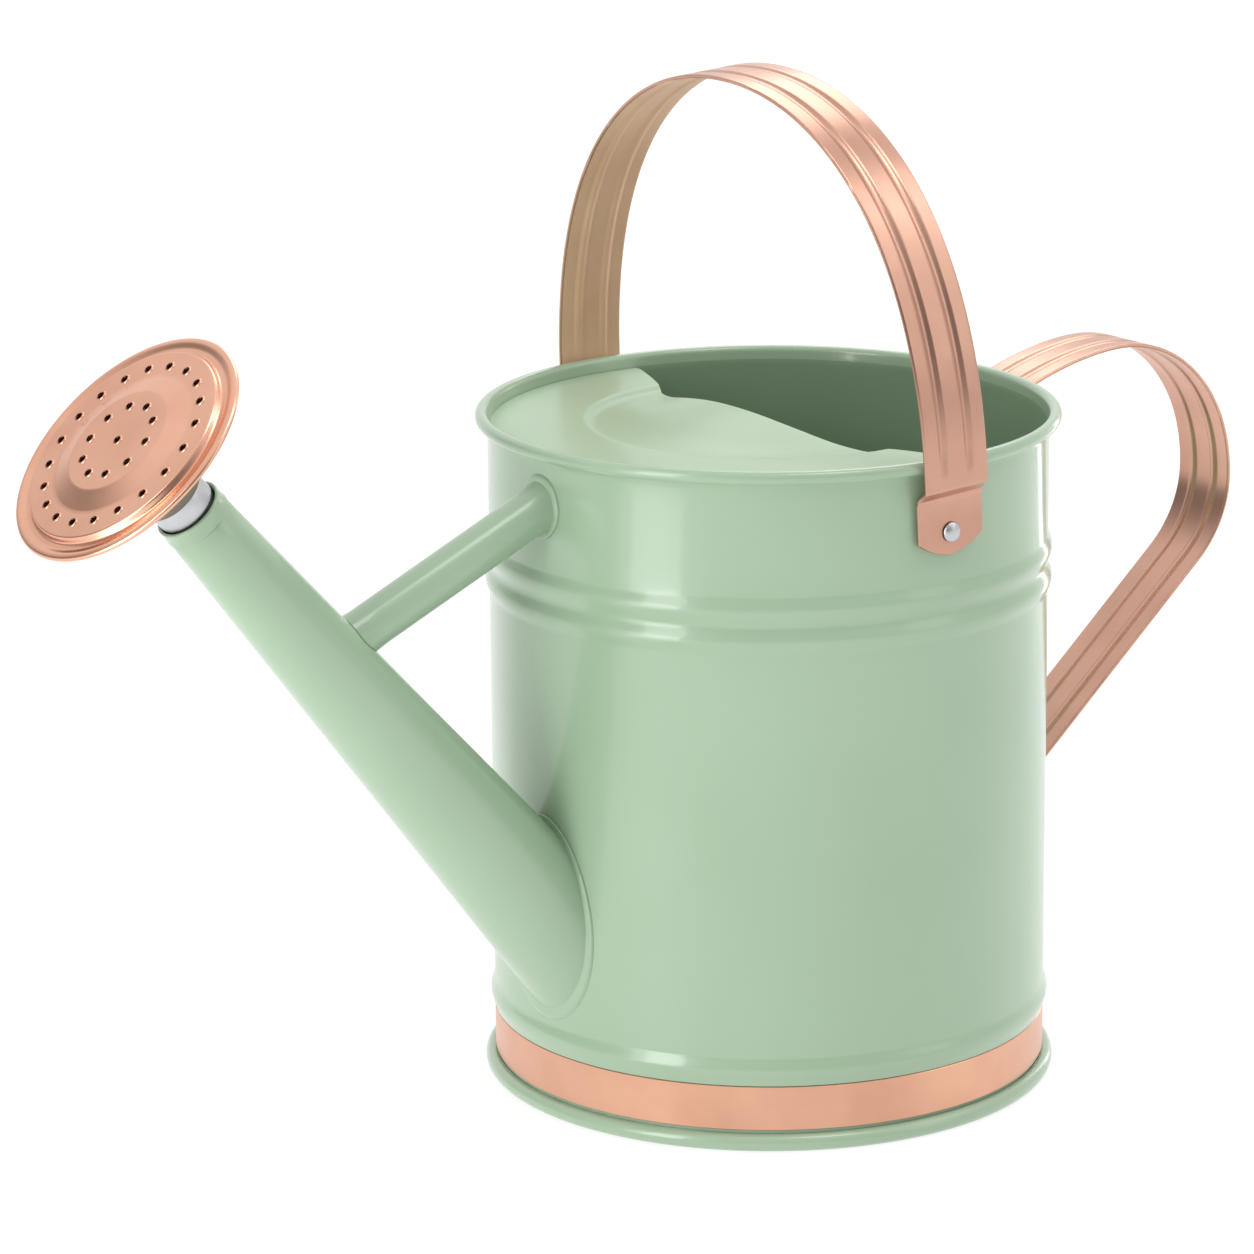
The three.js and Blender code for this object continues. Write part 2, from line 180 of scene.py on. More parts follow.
def rounded(points, radius, steps=6):
    """A polyline whose inner corners are replaced by curves that start a radius before them."""
    line = [points[0]]
    for before, corner, after in zip(points, points[1:], points[2:]):
        before, corner, after = Vector(before), Vector(corner), Vector(after)
        reach_in = min(radius, 0.45 * (before - corner).length)
        reach_out = min(radius, 0.45 * (after - corner).length)
        start = corner + (before - corner).normalized() * reach_in
        end = corner + (after - corner).normalized() * reach_out
        for k in range(steps + 1):
            t = k / steps
            line.append(tuple((1 - t)**2 * start + 2 * t * (1 - t) * corner + t * t * end))
    return line + [points[-1]]


def apart(points):
    """The points without any that repeats the one before it."""
    return [p for k, p in enumerate(points) if k == 0 or (p - points[k - 1]).length > 1e-7]


def evenly(line, step):
    """The same polyline with stations at most a step apart."""
    points = [Vector(line[0])]
    for p, q in zip(line, line[1:]):
        p, q = Vector(p), Vector(q)
        pieces = max(1, math.ceil((q - p).length / step))
        points += [p.lerp(q, k / pieces) for k in range(1, pieces + 1)]
    return [tuple(p) for p in apart(points)]


def smooth_step(low, high, value):
    t = min(max((value - low) / (high - low), 0), 1)
    return t * t * (3 - 2 * t)


def cut_out(target, verts, faces):
    """Takes a closed shape out of a piece."""
    mesh = bpy.data.meshes.new("cutter")
    mesh.from_pydata([tuple(v) for v in verts], [], faces)
    tool = bpy.data.objects.new("cutter", mesh)
    bpy.context.scene.collection.objects.link(tool)
    cut = target.modifiers.new("cut", "BOOLEAN")
    cut.operation = "DIFFERENCE"
    cut.solver = "EXACT"
    cut.object = tool
    bpy.context.view_layer.update()
    graph = bpy.context.evaluated_depsgraph_get()
    result = bpy.data.meshes.new_from_object(target.evaluated_get(graph))
    target.modifiers.clear()
    target.data = result
    bpy.data.objects.remove(tool)
    result.shade_smooth()
    result.set_sharp_from_angle(angle=math.radians(35))


def drill(target, matrix, low, high):
    """A rivet's hole along the matrix's own Z."""
    profile = [(0, low), (SHANK_HOLE_R, low), (SHANK_HOLE_R, high), (0, high)]
    cut_out(target, *turned(profile, angles(24), matrix, on_axis=True))


def store_strip(obj, places):
    """Keeps, on every vertex, its place along and across the strip for the drawn lines."""
    layer = obj.data.attributes.new("strip", "FLOAT_VECTOR", "POINT")
    for value, place in zip(layer.data, places):
        value.vector = place


# ---- where the slanted and sideways pieces stand: each one's own Z runs along its axis ----
def slanted(x, z, slope):
    """A place on the middle plane whose Z rises towards the spout's side at that slope."""
    return Matrix.Translation((x, 0, z)) @ Matrix.Rotation(-(math.pi / 2 - slope), 4, "Y")


def on_rear(height):
    """A place on the tank's axis whose Z points to the rear."""
    return Matrix.Translation((0, 0, height)) @ Matrix.Rotation(math.pi / 2, 4, "Y")


ON_SPOUT = slanted(-R, SPOUT_ROOT_Z, SPOUT_SLOPE)
SPOUT_TIP = ON_SPOUT @ Vector((0, 0, SPOUT_LENGTH))
ON_ROSE = slanted(SPOUT_TIP.x, SPOUT_TIP.z, ROSE_SLOPE)
ON_BRACE = slanted(-R, BRACE_Z, -math.atan2(BRACE_Z - BRACE_END.z, -R - BRACE_END.x))
BRACE_LENGTH = (BRACE_END - Vector((-R, 0, BRACE_Z))).length
ON_PIVOT_LEFT = Matrix.Translation((0, 0, PIVOT_Z)) @ Matrix.Rotation(-math.pi / 2, 4, "X")
ON_PIVOT_RIGHT = Matrix.Translation((0, 0, PIVOT_Z)) @ Matrix.Rotation(math.pi / 2, 4, "X")


# ---- materials ----
class Nodes:
    """A short way to add shader nodes and join them."""

    def __init__(self, name):
        self.material = bpy.data.materials.new(name)
        self.material.use_nodes = True
        self.tree = self.material.node_tree
        self.tree.nodes.clear()
        self.shader = self.add("ShaderNodeBsdfPrincipled")
        self.output = self.add("ShaderNodeOutputMaterial")
        self.link(self.shader, "BSDF", self.output, "Surface")

    def add(self, kind, **values):
        node = self.tree.nodes.new(kind)
        for key, value in values.items():
            if key in node.inputs:
                node.inputs[key].default_value = value
            else:
                setattr(node, key, value)
        return node

    def link(self, source, output, target, socket):
        self.tree.links.new(source.outputs[output], target.inputs[socket])

    def set(self, **values):
        for key, value in values.items():
            self.shader.inputs[key.replace("_", " ")].default_value = value

    def noise(self, scale, stretch=(1, 1, 1), detail=3.0, attribute=None):
        if attribute:
            place = self.add("ShaderNodeAttribute", attribute_name=attribute)
            output = "Vector"
        else:
            place = self.add("ShaderNodeTexCoord")
            output = "Object"
        mapping = self.add("ShaderNodeMapping")
        mapping.inputs["Scale"].default_value = stretch
        noise = self.add("ShaderNodeTexNoise", Scale=scale, Detail=detail)
        self.link(place, output, mapping, "Vector")
        self.link(mapping, "Vector", noise, "Vector")
        return noise

    def ramp(self, source, low, high, start=0.3, end=0.7, output="Fac"):
        ramp = self.add("ShaderNodeValToRGB")
        ramp.color_ramp.elements[0].color = low
        ramp.color_ramp.elements[1].color = high
        ramp.color_ramp.elements[0].position = start
        ramp.color_ramp.elements[1].position = end
        self.link(source, output, ramp, "Fac")
        return ramp

    def range(self, source, low, high, output="Fac"):
        node = self.add("ShaderNodeMapRange")
        node.inputs["To Min"].default_value = low
        node.inputs["To Max"].default_value = high
        self.link(source, output, node, "Value")
        return node

    def bump(self, *layers):
        """Each layer is (noise node, strength, distance)."""
        normal = None
        for source, strength, distance in layers:
            bump = self.add("ShaderNodeBump", Strength=strength, Distance=distance)
            self.link(source, "Fac", bump, "Height")
            if normal:
                self.link(normal, "Normal", bump, "Normal")
            normal = bump
        self.link(normal, "Normal", self.shader, "Normal")


def enamel(name, colour, shade, coat=0.6, specular=0.5):
    """Glossy stove enamel: faint cloudiness, orange peel and a clear top coat."""
    n = Nodes(name)
    cloud = n.noise(14.0, detail=2.0)
    peel = n.noise(420.0, detail=2.0)
    speck = n.noise(900.0, detail=1.0)
    tint = n.ramp(cloud, shade, colour, 0.35, 0.65)
    n.link(tint, "Color", n.shader, "Base Color")
    rough = n.range(speck, 0.27, 0.36)
    n.link(rough, "Result", n.shader, "Roughness")
    n.set(Metallic=0.0, Specular_IOR_Level=specular)
    n.set(Coat_Weight=coat, Coat_Roughness=0.09, Coat_IOR=1.5)
    n.bump((peel, 0.05, 0.0004), (cloud, 0.10, 0.0006))
    return n.material


def copper(name, colour, dull, along, attribute=None, rough=(0.24, 0.36), metallic=1.0):
    """Satin copper plating with fine drawn lines along the strip and a cloudy tarnish."""
    n = Nodes(name)
    lines = n.noise(1.0, along, detail=4.0, attribute=attribute)
    cloud = n.noise(28.0, detail=3.0)
    fine = n.noise(700.0, detail=1.0)
    tint = n.ramp(cloud, dull, colour, 0.32, 0.62)
    n.link(tint, "Color", n.shader, "Base Color")
    spread = n.range(lines, rough[0], rough[1])
    n.link(spread, "Result", n.shader, "Roughness")
    n.set(Metallic=metallic)
    n.bump((lines, 0.10, 0.0002), (fine, 0.03, 0.0001), (cloud, 0.08, 0.0006))
    return n.material


def steel(name, colour, rough):
    """Bright zinc plating with a fine swirl."""
    n = Nodes(name)
    swirl = n.noise(260.0, detail=4.0)
    cloud = n.noise(60.0, detail=2.0)
    tint = n.ramp(cloud, tuple(0.82 * c for c in colour[:3]) + (1,), colour, 0.3, 0.7)
    n.link(tint, "Color", n.shader, "Base Color")
    spread = n.range(swirl, rough * 0.8, rough * 1.3)
    n.link(spread, "Result", n.shader, "Roughness")
    n.set(Metallic=1.0)
    n.bump((swirl, 0.08, 0.0001), (cloud, 0.10, 0.0003))
    return n.material


def rubber(name):
    """Matt black moulded rubber."""
    n = Nodes(name)
    grain = n.noise(600.0, detail=3.0)
    tint = n.ramp(grain, (0.015, 0.015, 0.015, 1), (0.04, 0.04, 0.04, 1))
    n.link(tint, "Color", n.shader, "Base Color")
    rough = n.range(grain, 0.7, 0.95)
    n.link(rough, "Result", n.shader, "Roughness")
    n.bump((grain, 0.3, 0.0002))
    return n.material


GREEN = (0.350, 0.485, 0.335, 1)
GREEN_SHADE = (0.330, 0.462, 0.315, 1)
# Painted light: the hood's green is a lighter copy of the tank's, standing in for the light its upturned
# face catches; its coat and specular are turned down.
HOOD_LIT_GREEN = (0.430, 0.570, 0.405, 1)
HOOD_LIT_GREEN_DIM = (0.410, 0.548, 0.386, 1)
# Painted shade: the tank's inside is a darker copy of its green, standing in for the shade within it.
INSIDE_PAINTED_SHADE = (0.270, 0.400, 0.262, 1)
INSIDE_PAINTED_SHADE_DIM = (0.245, 0.368, 0.236, 1)
# The bail's back face: its tan is partly that duller finish and partly a painted reflection of the green
# tank.
STRIP_BACK_REFLECTED_TAN = (0.78, 0.50, 0.33, 1)
STRIP_BACK_REFLECTED_TAN_DULL = (0.70, 0.43, 0.27, 1)
COPPER = (0.76, 0.42, 0.29, 1)
COPPER_DULL = (0.66, 0.345, 0.235, 1)
# Painted shade: the straps' copper is a darker copy of the band's, for their darker look in shade.
STRAP_SHADED_COPPER = (0.64, 0.375, 0.280, 1)
STRAP_SHADED_DULL = (0.54, 0.300, 0.220, 1)
# Painted light: the rose's copper is a lighter copy of the band's, for its brightly lit face.
ROSE_LIT_COPPER = (0.90, 0.50, 0.35, 1)
ROSE_LIT_DULL = (0.80, 0.42, 0.29, 1)
# Painted shade: the rose funnel's dark brown is its copper in the shadow under the rose's face.
FUNNEL_SHADED_COPPER = (0.30, 0.22, 0.17, 1)
FUNNEL_SHADED_DULL = (0.20, 0.15, 0.12, 1)
STEEL = (0.66, 0.67, 0.69, 1)
DRAWN_LINES = (18, 1400, 1400)                # noise scales along, across and through a strip

enamel_green = enamel("green_enamel", GREEN, GREEN_SHADE)
# Darker green for the tank's inside: painted shade.
enamel_painted_shade = enamel("green_enamel_painted_shade", INSIDE_PAINTED_SHADE, INSIDE_PAINTED_SHADE_DIM)
# The hood's enamel carries painted light: a lighter green than the tank's.
enamel_hood_painted_light = enamel("green_enamel_hood_painted_light", HOOD_LIT_GREEN, HOOD_LIT_GREEN_DIM, coat=0.04, specular=0.15)
band_copper = copper("copper_band", COPPER, COPPER_DULL, DRAWN_LINES, "strip")
# The straps' darker copper: painted shade.
strip_copper_shaded = copper("copper_strip", STRAP_SHADED_COPPER, STRAP_SHADED_DULL, DRAWN_LINES, "strip")
# A dull, barely metallic back face whose tan is partly painted reflection of the green tank.
strip_back_painted_reflection = copper("copper_strip_back_painted_reflection", STRIP_BACK_REFLECTED_TAN, STRIP_BACK_REFLECTED_TAN_DULL, (18, 900, 900), "strip",
                    rough=(0.42, 0.55), metallic=0.15)
# The rose's lighter copper: painted light.
turned_copper_lit = copper("copper_pressing_painted_light", ROSE_LIT_COPPER, ROSE_LIT_DULL, (120, 120, 120),
                       rough=(0.20, 0.30))
# The funnel's dark copper: painted shade.
funnel_painted_shade = copper("copper_funnel_painted_shade", FUNNEL_SHADED_COPPER, FUNNEL_SHADED_DULL, (90, 90, 90), rough=(0.4, 0.55))
bright_steel = steel("bright_steel", STEEL, 0.36)
seal_rubber = rubber("seal_rubber")


# ---- tank ----
SEAM_AT = 0.05                                # angle of the lock seam, at the rear
SEAM_HALF = 0.35 * MM / R                     # half its width, as an angle
SEAM_DEPTH = 0.3 * MM


def ridge(middle, base):
    """A stiffening bead's profile over a wall of that radius, a little fuller than a cosine."""
    points = []
    for k in range(13):
        s = k / 6 - 1
        bulge = 0.5 * (1 + math.cos(s * math.pi)) ** 0.8 * 2**0.2
        points.append((base + RIDGE * bulge, middle + s * RIDGE_HALF))
    return points


def seam(a, radius, height):
    """The lock seam: a shallow groove down the outside of the wall."""
    near = abs((a - SEAM_AT + math.pi) % TAU - math.pi)
    plain = BAND_HIGH + 1 * MM < height < RIM_Z - 4 * MM and radius > R - 0.2 * MM
    return -SEAM_DEPTH if near < SEAM_HALF * 1.01 and plain else 0


def faces_in_shade(face):
    """Whether a face of the wall looks into the tank, below the rim: such faces get the darker green of
    painted shade.
    """
    middle = face.center
    inward = middle.x * face.normal.x + middle.y * face.normal.y < 0
    return inward and middle.z < RIM_Z - 3 * MM and math.hypot(middle.x, middle.y) < R + 1 * MM


def wall():
    """Rolled sheet wall: up its outside over three beads, round the rim's roll, down its inside."""
    recess = R - BAND_SHEET                   # the wall steps in behind the copper band
    foot = HEM_TOP / 2 + 0.4 * MM
    outer = [(recess, foot), (recess, BAND_HIGH + 0.1 * MM), (R - 0.1 * MM, BAND_HIGH + 0.7 * MM)]
    outer += [(R, BAND_HIGH + 1.2 * MM)]
    for middle in RIDGE_HEIGHTS:
        outer += ridge(middle, R)
    outer += [(R, 2.1 * R), (R, RIM_Z - 4.5 * MM), (R + 0.25 * MM, RIM_Z - 3.2 * MM)]
    outer += arc((RIM_CIRCLE, RIM_Z), RIM_BEAD, -118, 180, 26)
    inner = [(R - WALL, RIM_Z - 2 * MM), (R - WALL, RIM_Z - 4 * MM), (R - WALL, 2.1 * R)]
    for middle in reversed(RIDGE_HEIGHTS):
        inner += reversed(ridge(middle, R - WALL))
    inner += [(R - WALL, BAND_HIGH + 0.7 * MM), (recess - WALL, BAND_HIGH), (recess - WALL, foot)]
    dense = [SEAM_AT + k * SEAM_HALF for k in (-2.2, -1, -0.4, 0.4, 1, 2.2)]
    verts, faces = turned(outer + inner, angles(256, dense), dent=seam)
    shell = new_piece("tank_wall", verts, faces, "can", "body_shell", enamel_green)
    cut_inlet(shell)
    # The faces that look into the tank take the darker green: painted shade inside it.
    shell.data.materials.append(enamel_painted_shade)
    for face in shell.data.polygons:
        if faces_in_shade(face):
            face.material_index = 1
    drill(shell, ON_PIVOT_LEFT, -1.1 * R, 1.1 * R)
    for height in REAR_RIVETS:
        drill(shell, on_rear(height), 0.9 * R, 1.1 * R)


def cut_inlet(shell):
    """The hole through the wall where the spout starts."""
    reach = 30 * MM
    inlet_r = SPOUT_ROOT_R - 2 * MM
    profile = [(0, -reach), (inlet_r, -reach), (inlet_r, reach), (0, reach)]
    cut_out(shell, *turned(profile, angles(64), ON_SPOUT, on_axis=True))


def pan():
    """Recessed bottom whose edge folds up round the wall's foot into the base bead."""
    inside = R - BAND_SHEET - WALL - GAP      # the fold's slot holds the wall's foot
    outside = R - BAND_SHEET + GAP
    slot_low = 2.4 * MM
    bead = HEM_TOP / 2
    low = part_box("base_pan")[0][2] + 2 * MM   # the pan's underside
    high = low + WALL
    profile = [(0, low), (0.5 * R, low), (inside - 5.5 * MM, low), (inside - 4 * MM, low - 0.2 * MM)]
    profile += [(inside - 2.6 * MM, 0.9 * MM), (inside - 1.2 * MM, 0.15 * MM), (inside, 0)]
    profile += arc((R + 0.4 * MM, bead), bead, -90, 90, 18)
    profile += [(outside, HEM_TOP - 0.1 * MM), (outside, slot_low)]
    profile += [(inside, slot_low), (inside, HEM_TOP), (inside - 0.6 * MM, HEM_TOP)]
    profile += [(inside - 0.9 * MM, 1.8 * MM), (inside - 2.2 * MM, 1.9 * MM)]
    profile += [(inside - 4 * MM, high), (0.5 * R, high), (0, high)]
    verts, faces = turned(profile, angles(192), on_axis=True)
    new_piece("bottom_pan", verts, faces, "can", "base_pan", enamel_green)


def band():
    """Strip round the foot, its ends lapped at the back."""
    inner = R - BAND_SHEET + GAP
    step = 0.3 * MM                           # how far the upper end of the lap stands out
    lap = 0.055                               # the angle that it covers
    outer = inner + BAND_SHEET - step
    low, high = BAND_LOW, BAND_HIGH
    soft = 0.15 * MM                          # the eased edges

    def overlap(a, radius, height):
        return step if a < lap and radius > inner + 0.2 * MM else 0

    profile = [(inner, low), (outer - soft, low), (outer, low + soft)]
    profile += [(outer, low + (high - low) * k / 6) for k in range(1, 6)]
    profile += [(outer, high - soft), (outer - soft, high), (inner, high)]
    verts, faces = turned(profile, angles(224, (lap - 0.002, lap, 0.0005)), dent=overlap)
    obj = new_piece("foot_band", verts, faces, "can", "base_band", band_copper)
    points = [vertex.co for vertex in obj.data.vertices]
    store_strip(obj, [(math.atan2(p.y, p.x) * R, p.z, 0) for p in points])


# ---- hood ----
HOOD_EDGE = -0.02 * R                         # the free edge, where it leaves the tabs
HOOD_HOLLOW = 0.14 * R                        # how far its middle is hollowed
HOLLOW_END = 0.60                             # distances from the middle plane, in radii
TAB_START = 0.64
TAB_SPREAD = 0.35
NOTCH_STEP = 0.02 * R
TAB_RISE = 0.15 * R
# Points of the crown: distance from the axis and height, in radii.
HOOD_CROWN = ((0, 2.470), (0.16, 2.462), (0.32, 2.434), (0.48, 2.399), (0.59, 2.384),
              (0.63, 2.387), (0.66, 2.403), (0.90, 2.401), (0.990, 2.391))


def hood_height(radius):
    """Height of the hood over the axis distance: a smooth line through the crown's points."""
    spots = HOOD_CROWN
    s = min(radius / R, spots[-1][0])
    for k in range(len(spots) - 1):
        if s <= spots[k + 1][0]:
            break
    x0, y0 = spots[k]
    x1, y1 = spots[k + 1]
    before = spots[max(k - 1, 0)]
    after = spots[min(k + 2, len(spots) - 1)]
    width = x1 - x0
    slope0 = (y1 - before[1]) / (x1 - before[0]) if k else 0
    slope1 = (after[1] - y0) / (after[0] - x0)
    t = (s - x0) / width
    h00, h10 = 2 * t**3 - 3 * t * t + 1, t**3 - 2 * t * t + t
    h01, h11 = -2 * t**3 + 3 * t * t, t**3 - t * t
    return R * (h00 * y0 + h10 * width * slope0 + h01 * y1 + h11 * width * slope1)


def hood_edge(y):
    """Where the free edge lies: hollowed in the middle, a notch, then a tab out to the wall."""
    side = abs(y) / R
    if side < HOLLOW_END:
        return HOOD_EDGE - HOOD_HOLLOW * (1 - (side / HOLLOW_END) ** 2)
    if side < TAB_START:
        return HOOD_EDGE + NOTCH_STEP * smooth_step(HOLLOW_END, TAB_START, side)
    return TAB_RISE * (side - TAB_START) / TAB_SPREAD


def hood():
    """A sheet over the spout's half of the mouth: rows from the wall to the free edge."""
    reach = R - WALL - 0.02 * MM
    across = [reach * math.sin(math.pi / 2 * (2 * k / 180 - 1)) * 0.9995 for k in range(181)]
    rows = []
    for y in across:
        start = -math.sqrt(reach * reach - y * y)
        end = min(hood_edge(y), -start)
        row = []
        for k in range(81):
            t = k / 80
            x = start + (end - start) * (1 - (1 - t) ** 1.2)
            row.append(Vector((x, y, hood_height(math.hypot(x, y)))))
        rows.append(row)
    top, faces = grid(rows, close_columns=False, flip=True)
    under = [v - Vector((0, 0, WALL)) for v in top]
    count, width = len(rows), len(rows[0])
    shift = len(top)
    faces = list(faces) + [tuple(shift + k for k in reversed(face)) for face in faces]
    border = list(range(width))
    border += [i * width + width - 1 for i in range(1, count)]
    border += [(count - 1) * width + j for j in range(width - 2, -1, -1)]
    border += [i * width for i in range(count - 2, 0, -1)]
    for a, b in zip(border, border[1:] + border[:1]):
        faces.append((a, b, b + shift, a + shift))
    # The hood takes the lighter green of painted light.
    new_piece("hood_panel", top + under, faces, "can", "hood", enamel_hood_painted_light, sharp=50)


# ---- spout and brace ----
def spout_radius(distance):
    return SPOUT_ROOT_R + (SPOUT_TIP_R - SPOUT_ROOT_R) * distance / SPOUT_LENGTH


def meet_wall(matrix, radius_at, a, wall_radius):
    """Where a tube's line at angle a leaves an upright cylinder: its distance along, and the point."""
    def point(s):
        r = radius_at(s)
        return matrix @ Vector((r * math.cos(a), r * math.sin(a), s))

    low, high = -0.6 * R, 0.9 * R
    for _ in range(40):
        middle = (low + high) / 2
        if math.hypot(point(middle).x, point(middle).y) < wall_radius:
            low = middle
        else:
            high = middle
    return low, point(low)


def spout():
    """Tapered sheet tube with a rolled collar at its tip; rows run up its outside and down its inside."""
    around = angles(128)
    collar = SPOUT_LENGTH - 5.5 * MM
    skin = R + 0.05 * MM

    def on_spout(radius, a, s):
        return ON_SPOUT @ Vector((radius * math.cos(a), radius * math.sin(a), s))

    def inner(s):
        return spout_radius(s) - WALL

    rows = []
    roots = [meet_wall(ON_SPOUT, spout_radius, a, skin)[0] for a in around]
    for k in range(25):
        places = [root + (collar - root) * k / 24 for root in roots]
        rows.append([on_spout(spout_radius(s), a, s) for a, s in zip(around, places)])
    tip = SPOUT_TIP_R
    lip = [(spout_radius(collar) - 0.15 * MM, collar + 0.35 * MM)]
    lip += [(tip + 0.60 * MM, collar + 0.75 * MM), (tip + 0.52 * MM, collar + 1.1 * MM)]
    lip += [(tip + 0.15 * MM, SPOUT_LENGTH - 1.6 * MM)]
    lip += [(tip + 0.35 * MM, SPOUT_LENGTH - 1.1 * MM)]
    lip += arc((tip - 0.15 * MM, SPOUT_LENGTH - 0.55 * MM), 0.55 * MM, 0, 170, 8)
    lip += [(tip - WALL, SPOUT_LENGTH - 1.5 * MM)]
    for r, s in lip:
        rows.append([on_spout(r, a, s) for a in around])
    mouth = SPOUT_LENGTH - 4 * MM
    inner_roots = [meet_wall(ON_SPOUT, inner, a, skin)[0] for a in around]
    for k in range(13):
        places = [mouth + (root - mouth) * k / 12 for root in inner_roots]
        rows.append([on_spout(inner(s), a, s) for a, s in zip(around, places)])
    verts, faces = grid(rows, close_rows=True)
    new_piece("spout_cone", verts, faces, "can", "spout_tube", enamel_green)


# A collar's section: how far out from the tube in collar widths, and up from the wall in heights.
COLLAR_SECTION = ((0.0, 0.05), (1.0, 0.05), (1.0, 0.45), (0.93, 0.75), (0.78, 0.95), (0.55, 1.0),
                  (0.3, 0.95), (0.0, 1.1))
COLLAR_HEIGHT = 1.0 * MM
COLLAR_PLAY = 0.02 * MM


def collar_ring(name, node, matrix, radius_at, width, around):
    """A soft-edged flange lying on the wall round a tube's root."""
    rows = []
    for out, up in COLLAR_SECTION:
        def grown(s):
            return radius_at(s) + COLLAR_PLAY + out * width

        level = R + up * COLLAR_HEIGHT
        rows.append([meet_wall(matrix, grown, a, level)[1] for a in around])
    verts, faces = grid(rows, close_rows=True)
    new_piece(name, verts, faces, "can", node, enamel_green)


def spout_distance(point):
    """How far a point stands off the spout's surface."""
    local = ON_SPOUT.inverted() @ point
    return math.hypot(local.x, local.y) - spout_radius(local.z)


def brace_radius(distance):
    return BRACE_R


def on_brace(radius, a, s):
    return ON_BRACE @ Vector((radius * math.cos(a), radius * math.sin(a), s))


def meet_spout(a):
    """How far along the brace its line at angle a reaches the spout."""
    low, high = 0.5 * BRACE_LENGTH, BRACE_LENGTH + 12 * MM
    for _ in range(40):
        middle = (low + high) / 2
        if spout_distance(on_brace(BRACE_R, a, middle)) > 0.05 * MM:
            low = middle
        else:
            high = middle
    return low


def brace():
    """Open tube from the wall to the spout, slightly flared where it meets each."""
    around = angles(64)
    steps = 16
    starts = [meet_wall(ON_BRACE, brace_radius, a, R + 0.05 * MM)[0] for a in around]
    ends = [meet_spout(a) for a in around]
    outer, inner = [], []
    for k in range(steps + 1):
        t = k / steps
        places = [start + (end - start) * t for start, end in zip(starts, ends)]
        flare = 0.5 * MM * (1 - smooth_step(0, 0.05, t)) + 0.25 * MM * smooth_step(0.97, 1, t)
        outer.append([on_brace(BRACE_R + flare, a, s) for a, s in zip(around, places)])
        inner.append([on_brace(BRACE_R - WALL, a, s) for a, s in zip(around, places)])
    verts, faces = grid(outer + inner[::-1], close_rows=True)
    new_piece("brace_rod", verts, faces, "can", "brace_tube", enamel_green)


# ---- rose ----
HOLE_R = 1.2 * MM
# Each ring of holes: their count, its radius, and how far it is turned, in steps between holes.
HOLE_RINGS = ((1, 0.0, 0.0), (10, 0.144 * R, 0.79), (20, 0.320 * R, 0.56))
CONE_START = 0.203 * R                        # the sloped ring between the two rings of holes
CONE_SPREAD = 0.072 * R
CONE_DROP = 1.8 * MM
CENTRE_HEIGHT = 4.0 * MM
# The steps near the rim: where each starts and ends, and how far it drops.
RIM_STEPS = ((0.380 * R, 0.394 * R, 2.0 * MM), (0.412 * R, 0.436 * R, -0.6 * MM))
# A hole's burr: how far out from its edge and up from the face, in millimetres.
LIP_SECTION = ((0.02, -0.1), (0.50, -0.1), (0.42, 0.06), (0.22, 0.20), (0.02, 0.24))


def hole_places():
    for count, radius, shift in HOLE_RINGS:
        for k in range(count):
            a = TAU * (k + shift) / count
            yield radius * math.cos(a), radius * math.sin(a)


def rose_top(radius):
    """Height of the face over its rim's plane."""
    cone = min(max((radius - CONE_START) / CONE_SPREAD, 0), 1)
    height = CENTRE_HEIGHT - CONE_DROP * cone
    for start, end, drop in RIM_STEPS:
        height -= drop * smooth_step(start, end, radius)
    return height


def hole_lip(x, y):
    """The raised burr round one hole."""
    level = ROSE_REACH + rose_top(math.hypot(x, y))
    profile = [(HOLE_R + out * MM, level + up * MM) for out, up in LIP_SECTION]
    return turned(profile, angles(20), ON_ROSE @ Matrix.Translation((x, y, 0)))


def rose_disc():
    """Stepped sheet disc with a rolled rim, drilled, with a burr round each hole."""
    radii = [0.02 * R, 0.10 * R, 0.16 * R]
    radii += [(0.195 + 0.0035 * k) * R for k in range(24)]
    radii += [(0.29 + 0.02 * k) * R for k in range(4)]
    radii += [(0.366 + 0.0032 * k) * R for k in range(26)]
    flat = ROSE_R - 1.1 * MM
    radii = [r for r in radii if r < flat]
    sheet = 0.7 * MM
    under = [(0, ROSE_REACH + rose_top(0) - sheet)]
    under += [(r, ROSE_REACH + rose_top(r) - sheet) for r in radii]
    roll = arc((ROSE_R - 0.9 * MM, ROSE_REACH - 0.15 * MM), 0.9 * MM, -110, 80, 14)
    top = [(r, ROSE_REACH + rose_top(r)) for r in reversed(radii)] + [(0, ROSE_REACH + rose_top(0))]
    verts, faces = turned(under + roll + top, angles(160), ON_ROSE, on_axis=True)
    # The rose's face takes the lighter copper of painted light.
    disc = new_piece("rose_disc", verts, faces, "rose", "rose_face", turned_copper_lit)
    low, high = ROSE_REACH - 2 * MM, ROSE_REACH + 6 * MM
    profile = [(0, low), (HOLE_R, low), (HOLE_R, high), (0, high)]
    places = [ON_ROSE @ Matrix.Translation((x, y, 0)) for x, y in hole_places()]
    drills = [turned(profile, angles(20), place, on_axis=True) for place in places]
    cut_out(disc, *joined(*drills))
    drilled = ([v.co.copy() for v in disc.data.vertices], [tuple(p.vertices) for p in disc.data.polygons])
    verts, faces = joined(drilled, *[hole_lip(x, y) for x, y in hole_places()])
    mesh = bpy.data.meshes.new("rose_disc")
    mesh.from_pydata([tuple(v) for v in verts], [], faces)
    mesh.materials.append(turned_copper_lit)
    mesh.shade_smooth()
    mesh.set_sharp_from_angle(angle=math.radians(40))
    disc.data = mesh


